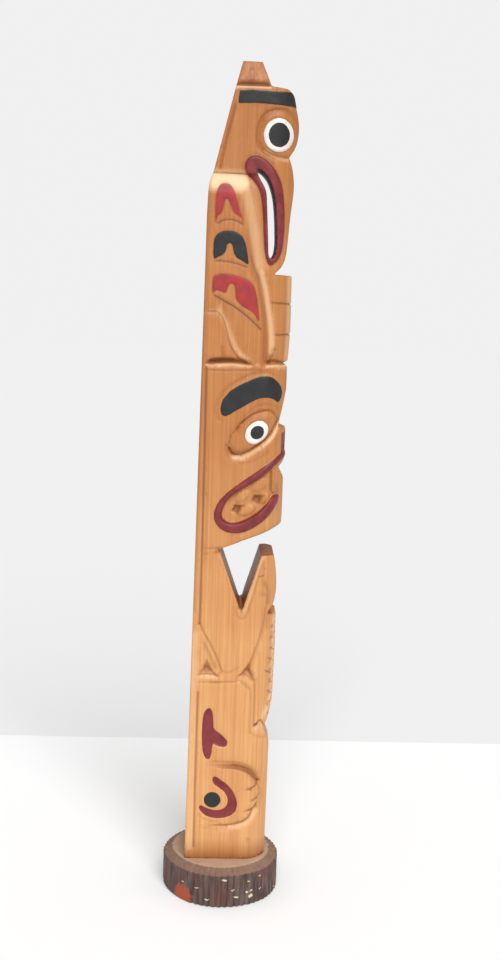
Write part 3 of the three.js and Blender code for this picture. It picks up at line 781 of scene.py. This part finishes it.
# the Mix node's colour sockets, and its settings for plain and darkening mixes
mixA, mixB = 6, 7
plain = {"data_type": "RGBA"}
darken = {"data_type": "RGBA", "blend_type": "MULTIPLY"}


def addNode(tree, kind, sockets, **settings):
    # a socket is given a value, an sRGB hex text or the node that it is linked to
    node = tree.nodes.new("ShaderNode" + kind)
    for name, value in settings.items():
        setattr(node, name, value)
    for socket, value in sockets.items():
        if isinstance(value, bpy.types.Node):
            tree.links.new(value.outputs[mainOutput.get(value.bl_idname, 0)], node.inputs[socket])
        else:
            node.inputs[socket].default_value = hexColour(value) if isinstance(value, str) else value
    return node


def newMaterial(name):
    material = bpy.data.materials.new(name)
    material.use_nodes = True
    material.node_tree.nodes.clear()
    return material, partial(addNode, material.node_tree)


# the pole's colours
carvedWood = {
    "foot": "#a06430",
    "low": "#d9a268",
    "body": "#cf965c",
    "bear": "#bc7e44",
    "head": "#ae6e37",
    "grainLow": "#c39a6e",
    "bandLow": "#d9a878",
    "patchLow": "#e0a468",
    # pale is painted highlight with some wear; cut is painted shade with some stain in the cuts
    "pale": "#ecc598",
    "cut": "#7a3f18",
    "red": ("#8c2729", "#a8292a"),
    "maroon": ("#6b1a1d", "#80272a"),
    "white": ("#ddd2cb", "#eee6e0"),
    "black": ("#151414", "#201f1f"),
}
# how high up the pole, as a share, each wood colour is reached
woodStops = [(0.0, "foot"), (0.028, "low"), (0.24, "low"), (0.4, "body"), (0.56, "bear"), (0.8, "bear"),
             (1.0, "head")]


def woodMaterial():
    # Cedar, knife carved and wiped with amber varnish: warm, satin, with long upright grain. The
    # upper figures took more varnish, the wood below is paler and the foot is darker.
    material, add = newMaterial("varnished carved cedar")
    place = add("TexCoord", {})
    marks = {name: add("Attribute", {}, attribute_name=name) for name in ("up", "ink", "pale")}
    ramp = add("ValToRGB", {"Fac": add("MapRange", {"Value": marks["up"], "From Max": 332.0})})
    ends = ramp.color_ramp.elements
    ends[0].color = hexColour(carvedWood[woodStops[0][1]])
    ends[1].color = hexColour(carvedWood[woodStops[-1][1]])
    for position, name in woodStops[1:-1]:
        ends.new(position).color = hexColour(carvedWood[name])

    # streaks half a millimetre to 3 mm wide and some 60 mm long, broad bands and wiped patches
    along = add("Mapping", {"Vector": place, "Scale": (1100, 1100, 16)})
    grain = add("TexNoise", {"Vector": along, "Scale": 1.0, "Detail": 6.0, "Roughness": 0.62,
                             "Distortion": 0.35})
    along = add("Mapping", {"Vector": place, "Scale": (170, 170, 5)})
    bands = add("TexNoise", {"Vector": along, "Scale": 1.0, "Detail": 3.0, "Distortion": 0.6})
    patches = add("TexNoise", {"Vector": place, "Scale": 38.0, "Detail": 3.0})
    wood = ramp
    for name, noise, low, high, most in (("grainLow", grain, 0.35, 0.68, 0.42),
                                         ("bandLow", bands, 0.38, 0.66, 0.2),
                                         ("patchLow", patches, 0.45, 0.75, 0.3)):
        share = add("MapRange", {"Value": noise, "From Min": low, "From Max": high, "To Max": most})
        wood = add("Mix", {0: share, mixA: wood, mixB: carvedWood[name]}, **darken)
    # painted highlight on up-facing edges, then painted shade with some stain in the cuts
    for mark, name in (("pale", "pale"), ("ink", "cut")):
        wood = add("Mix", {0: marks[mark], mixA: wood, mixB: carvedWood[name]}, **plain)

    # brushed paint: its edges wander by about 0.1 mm and its tone is blotchy
    wander = add("TexNoise", {"Vector": place, "Scale": 900.0, "Detail": 2.0})
    blotch = add("TexNoise", {"Vector": place, "Scale": 230.0, "Detail": 3.0})
    wobble = add("Math", {0: wander, 1: 0.36, 2: -0.18}, operation="MULTIPLY_ADD")
    streak = add("MapRange", {"Value": blotch, "From Min": 0.36, "From Max": 0.66})
    for name in ("red", "maroon", "white", "black"):
        dark, light = carvedWood[name]
        gap = add("Attribute", {}, attribute_name="paint_" + name)
        edge = add("Math", {0: gap, 1: wobble}, operation="ADD")
        cover = add("MapRange", {"Value": edge, "From Min": -0.1, "From Max": 0.12},
                    interpolation_type="SMOOTHSTEP")
        tone = add("Mix", {0: streak, mixA: dark, mixB: light}, **plain)
        wood = add("Mix", {0: cover, mixA: wood, mixB: tone}, **plain)

    dull = add("MapRange", {"Value": grain, "From Min": 0.3, "From Max": 0.7, "To Min": 0.42,
                            "To Max": 0.56})
    bump = add("Bump", {"Height": grain, "Strength": 0.25, "Distance": 0.0003})
    knife = add("Bump", {"Height": blotch, "Normal": bump, "Strength": 0.3, "Distance": 0.0006})
    shader = add("BsdfPrincipled", {"Base Color": wood, "Roughness": dull, "Normal": knife, "IOR": 1.5})
    add("OutputMaterial", {"Surface": shader})
    return material


# The branch slice, in mm. "share" below is a point's distance from the middle over the slice's radius.
branch = {
    "radius": 24,
    "rimFrom": 24.2,        # CAD points further out than this are on its outline
    "barkRadius": 25,
    "rimDrop": 2.4,
    "rimWidth": 3.7,
    "columns": 560,
    "barkRows": 52,
    "rimRows": 8,
    "topRings": 14,
    "ringWidth": 1.35,
    "furrow": 0.06,
    "footWear": 0.8,        # how far the bottom edge is rubbed in
    "footHeight": 0.9,
    "scarAt": 139,          # degrees round; where a patch has lost its outer bark
    "scarHeight": 3.2,
    "scarHalf": (5, 4.4),
}
# ridges in the bark: how many round it, depth and drift
furrowWaves = [(37, 0.35, 1.1), (61, 0.25, 2.3), (97, 0.2, 3.7), (149, 0.12, 5.2)]
branchColours = {
    "darkBark": "#3f302d",
    "paleBark": "#6f5d57",
    "redBark": "#663a32",
    "scar": "#a04a2e",
    "pore": "#d8c3a6",
    "darkRing": "#6f5243",
    "paleRing": "#927462",
    "darkTop": "#a88467",
    "paleTop": "#c4a78f",
}
# pale breathing pores: direction in degrees, height, half length and half height in mm
lenticels = [(-176.2, 12.6, 1.3, 0.45), (-138.2, 12.1, 0.9, 0.3), (-151.6, 11, 0.7, 0.25),
             (-137.6, 6.1, 0.9, 0.3), (-167.7, 7.9, 0.9, 0.3), (-148.7, 6.4, 1.0, 0.4),
             (-164.3, 4.6, 1.1, 0.4), (166.7, 3.4, 1.1, 0.35), (139.7, 8.8, 0.9, 0.25),
             (155.9, 7.9, 1.2, 0.25), (-110.8, 1.9, 0.5, 0.3), (-149, 4.1, 1.2, 0.9),
             (-153.1, 6.1, 0.6, 0.5), (95, 9, 1.1, 0.35), (60, 5.5, 1, 0.3), (30, 11, 1.2, 0.35),
             (0, 7, 0.9, 0.3), (-25, 4, 1.1, 0.35), (-50, 10.2, 1.2, 0.4), (-80, 6.2, 0.9, 0.3),
             (-98, 11.6, 0.8, 0.3), (75, 12, 0.7, 0.3)]


def baseRadiusAt(angles):
    # the CAD slice's radius in each direction, so the bark keeps its outline
    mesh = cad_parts["log_base"].data
    co = np.array([v.co[:] for v in mesh.vertices]) / mm
    rim = co[np.hypot(co[:, 0], co[:, 1]) > branch["rimFrom"]]
    rimAngle = np.arctan2(rim[:, 1], rim[:, 0])
    order = np.argsort(rimAngle)
    return np.interp(angles, rimAngle[order], np.hypot(rim[:, 0], rim[:, 1])[order], period=2 * math.pi)


def extrudeUp(rise, shrink=1):
    bpy.ops.mesh.extrude_region_move(TRANSFORM_OT_translate={"value": (0, 0, rise)})
    if shrink != 1:
        bpy.ops.transform.resize(value=(shrink, shrink, 1))


def buildBase():
    print("base: turning the slice")
    deselectAll()
    radius, rimWidth = branch["radius"], branch["rimWidth"]
    bpy.ops.mesh.primitive_circle_add(vertices=branch["columns"], radius=radius, fill_type="NOTHING")
    base = bpy.context.object
    base.name = "logBase"
    startEdit()
    for row in range(branch["barkRows"]):
        extrudeUp((baseTop - branch["rimDrop"]) / branch["barkRows"])
    step = rimWidth / branch["rimRows"]
    for row in range(branch["rimRows"]):
        extrudeUp(branch["rimDrop"] / branch["rimRows"], 1 - step / (radius - step * row))
    step = branch["ringWidth"]
    for row in range(branch["topRings"]):
        extrudeUp(0, 1 - step / (radius - rimWidth - step * row))
    bpy.ops.mesh.edge_face_add()
    bpy.ops.mesh.select_all(action="DESELECT")
    bpy.ops.object.mode_set(mode="OBJECT")
    for edge in base.data.edges:
        a, b = (base.data.vertices[i].co for i in edge.vertices)
        edge.select = a.z < tiny and b.z < tiny
    bpy.ops.object.mode_set(mode="EDIT")
    bpy.ops.mesh.select_mode(type="EDGE")
    bpy.ops.mesh.edge_face_add()
    endSolid()
    shapeBark(base)
    makeActive(base)
    base.scale = (mm, mm, mm)
    applyTransform()
    bpy.ops.object.shade_smooth_by_angle(angle=math.radians(50))
    return base


def acrossFrom(angle, degrees):
    # how far round the bark a point is from a direction, in mm
    return np.radians((np.degrees(angle) - degrees + 180) % 360 - 180) * branch["barkRadius"]


def shapeBark(base):
    co = pointsOf(base)
    angle = np.arctan2(co[:, 1], co[:, 0])
    radius = np.hypot(co[:, 0], co[:, 1])
    z = co[:, 2]
    bark = z < baseTop - branch["rimDrop"] + tiny
    furrows = np.zeros(len(z))
    for turns, size, drift in furrowWaves:
        sway = 1.2 * np.sin(z / 3 + drift + 3 * angle)
        furrows += size * (0.5 + 0.5 * np.sin(turns * angle + drift * 2 + sway))
    outer = baseRadiusAt(angle) - np.where(bark, branch["furrow"] * furrows, 0)
    outer -= np.where(bark, branch["footWear"] * np.clip(1 - z / branch["footHeight"], 0, 1) ** 2, 0)
    # the bevelled ring and the top keep the outline too
    share = radius / branch["radius"]
    co[:, 0] = share * outer * np.cos(angle)
    co[:, 1] = share * outer * np.sin(angle)
    setPoints(base, co)
    addAttribute(base, "bark", bark.astype(float))
    addAttribute(base, "share", share)

    across = acrossFrom(angle, branch["scarAt"])
    halfAcross, halfUp = branch["scarHalf"]
    gap = np.hypot(across / halfAcross, (z - branch["scarHeight"]) / halfUp)
    gap += 0.18 * np.sin(2.1 * across + z) * np.sin(1.7 * z)
    addAttribute(base, "scar", np.clip((1.05 - gap) / 0.2, 0, 1) * bark)
    mark = np.full(len(z), -2.0)
    for degrees, height, half, tall in lenticels:
        mark = np.maximum(mark, 1 - np.hypot(acrossFrom(angle, degrees) / half, (z - height) / tall))
    addAttribute(base, "lenticel", np.clip(mark, -2, 1))


def baseMaterial():
    # A slice of branch: thin grey-brown bark, streaked and mottled, with pale breathing pores and a
    # rust-coloured scar; a dark bevelled ring and a paler sawn top. Dry all over.
    material, add = newMaterial("branch slice with bark")
    place = add("TexCoord", {})
    marks = {name: add("Attribute", {}, attribute_name=name)
             for name in ("bark", "share", "lenticel", "scar")}
    along = add("Mapping", {"Vector": place, "Scale": (600, 600, 90)})
    streak = add("TexNoise", {"Vector": along, "Scale": 1.0, "Detail": 6.0, "Roughness": 0.65})
    mottle = add("TexNoise", {"Vector": place, "Scale": 110.0, "Detail": 5.0})
    fibre = add("TexNoise", {"Vector": place, "Scale": 500.0, "Detail": 4.0})
    spans = {}
    for name, node, low, high, most in (("streak", streak, 0.36, 0.66, 1.0),
                                        ("mottle", mottle, 0.45, 0.7, 0.6),
                                        ("pore", marks["lenticel"], -0.1, 0.25, 1.0),
                                        ("sawn", marks["share"], 0.862, 0.84, 1.0)):
        spans[name] = add("MapRange", {"Value": node, "From Min": low, "From Max": high, "To Max": most})
    spans["sawn"].interpolation_type = "SMOOTHSTEP"
    # each tone is a mix of two that come before it
    tones = dict(branchColours)
    for name, share, below, over in (("streaked", spans["streak"], "darkBark", "paleBark"),
                                     ("mottled", spans["mottle"], "streaked", "redBark"),
                                     ("scarred", marks["scar"], "mottled", "scar"),
                                     ("bark", spans["pore"], "scarred", "pore"),
                                     ("ring", fibre, "darkRing", "paleRing"),
                                     ("top", mottle, "darkTop", "paleTop"),
                                     ("faces", spans["sawn"], "ring", "top"),
                                     ("slice", marks["bark"], "faces", "bark")):
        tones[name] = add("Mix", {0: share, mixA: tones[below], mixB: tones[over]}, **plain)
    bump = add("Bump", {"Height": streak, "Strength": 0.5, "Distance": 0.0005})
    shader = add("BsdfPrincipled", {"Base Color": tones["slice"], "Normal": bump, "Roughness": 0.82,
                                    "IOR": 1.45})
    add("OutputMaterial", {"Surface": shader})
    return material


# the set: angles in degrees, lengths in metres
studio = {
    "azimuth": -92.0,
    "pitch": 10.04,
    "roll": 1.78,
    "distance": 0.5275,
    "side": 0.0104,
    "height": 0.2736,
    "film": 36,             # mm
    "focalShare": 4 / 3,    # focal length over the film's height
    "room": 0.5,
    "lamp": 2.65,
    "lampSpread": 40,
    "lampFrom": (-0.76, -0.12, 0.68),
    "floorSize": 6,
    "paperEdge": 0.1665,
    "paper": "#fafafa",
    "table": "#ececec",
    "wall": "#f0f0f0",
}


def buildFloor():
    print("studio: floor")
    deselectAll()
    bpy.ops.mesh.primitive_plane_add(size=studio["floorSize"], location=(0, 0, 0))
    floor = bpy.context.object
    floor.name = "floor"
    # White matt paper, and past its edge a table a little greyer.
    material, add = newMaterial("white paper on a pale table")
    split = add("SeparateXYZ", {"Vector": add("TexCoord", {})})
    beyond = add("Math", {0: split, 1: studio["paperEdge"]}, operation="GREATER_THAN")
    tone = add("Mix", {0: beyond, mixA: studio["paper"], mixB: studio["table"]}, **plain)
    shader = add("BsdfPrincipled", {"Base Color": tone, "Roughness": 0.9, "Specular IOR Level": 0.2})
    add("OutputMaterial", {"Surface": shader})
    floor.data.materials.append(material)


def buildLights():
    print("studio: lights")
    world = bpy.data.worlds.new("softbox room")
    world.use_nodes = True
    world.node_tree.nodes.clear()
    add = partial(addNode, world.node_tree)
    # the room lights the object softly, and is seen as a plain pale wall
    room = add("Background", {"Color": "#ffffff", "Strength": studio["room"]})
    seen = add("Background", {"Color": studio["wall"], "Strength": 1.0})
    either = add("MixShader", {0: add("LightPath", {}), 1: room, 2: seen})
    add("OutputWorld", {"Surface": either})
    bpy.context.scene.world = world

    bpy.ops.object.light_add(type="SUN", location=(0, 0, 1))
    softbox = bpy.context.object
    softbox.name = "softbox"
    softbox.data.energy = studio["lamp"]
    softbox.data.angle = math.radians(studio["lampSpread"])
    softbox.rotation_euler = Vector(studio["lampFrom"]).to_track_quat("Z", "Y").to_euler()


def buildCamera():
    print("studio: camera")
    camera = bpy.data.objects.new("camera", bpy.data.cameras.new("camera"))
    bpy.context.scene.collection.objects.link(camera)
    turn, pitch, roll = (math.radians(studio[name]) for name in ("azimuth", "pitch", "roll"))
    stand = (Matrix.Rotation(turn, 4, "Z") @ Matrix.Rotation(math.pi / 2 - pitch, 4, "X")
             @ Matrix.Rotation(roll, 4, "Z"))
    place = (-studio["distance"], studio["side"], studio["height"])
    camera.matrix_world = Matrix.Translation(place) @ stand
    camera.data.sensor_width = studio["film"]
    camera.data.lens = studio["film"] * studio["focalShare"]
    camera.data.clip_start = 0.01
    bpy.context.scene.camera = camera


buildFloor()
buildLights()
buildCamera()
pole = buildPole()
pole.data.materials.append(woodMaterial())
base = buildBase()
base.data.materials.append(baseMaterial())
for piece, node, slotName in ((pole, "carved_pole", "carved_wood"), (base, "log_base", "bark_wood")):
    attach(piece, "root")
    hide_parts(node)
bpy.context.scene.view_settings.view_transform = "Standard"
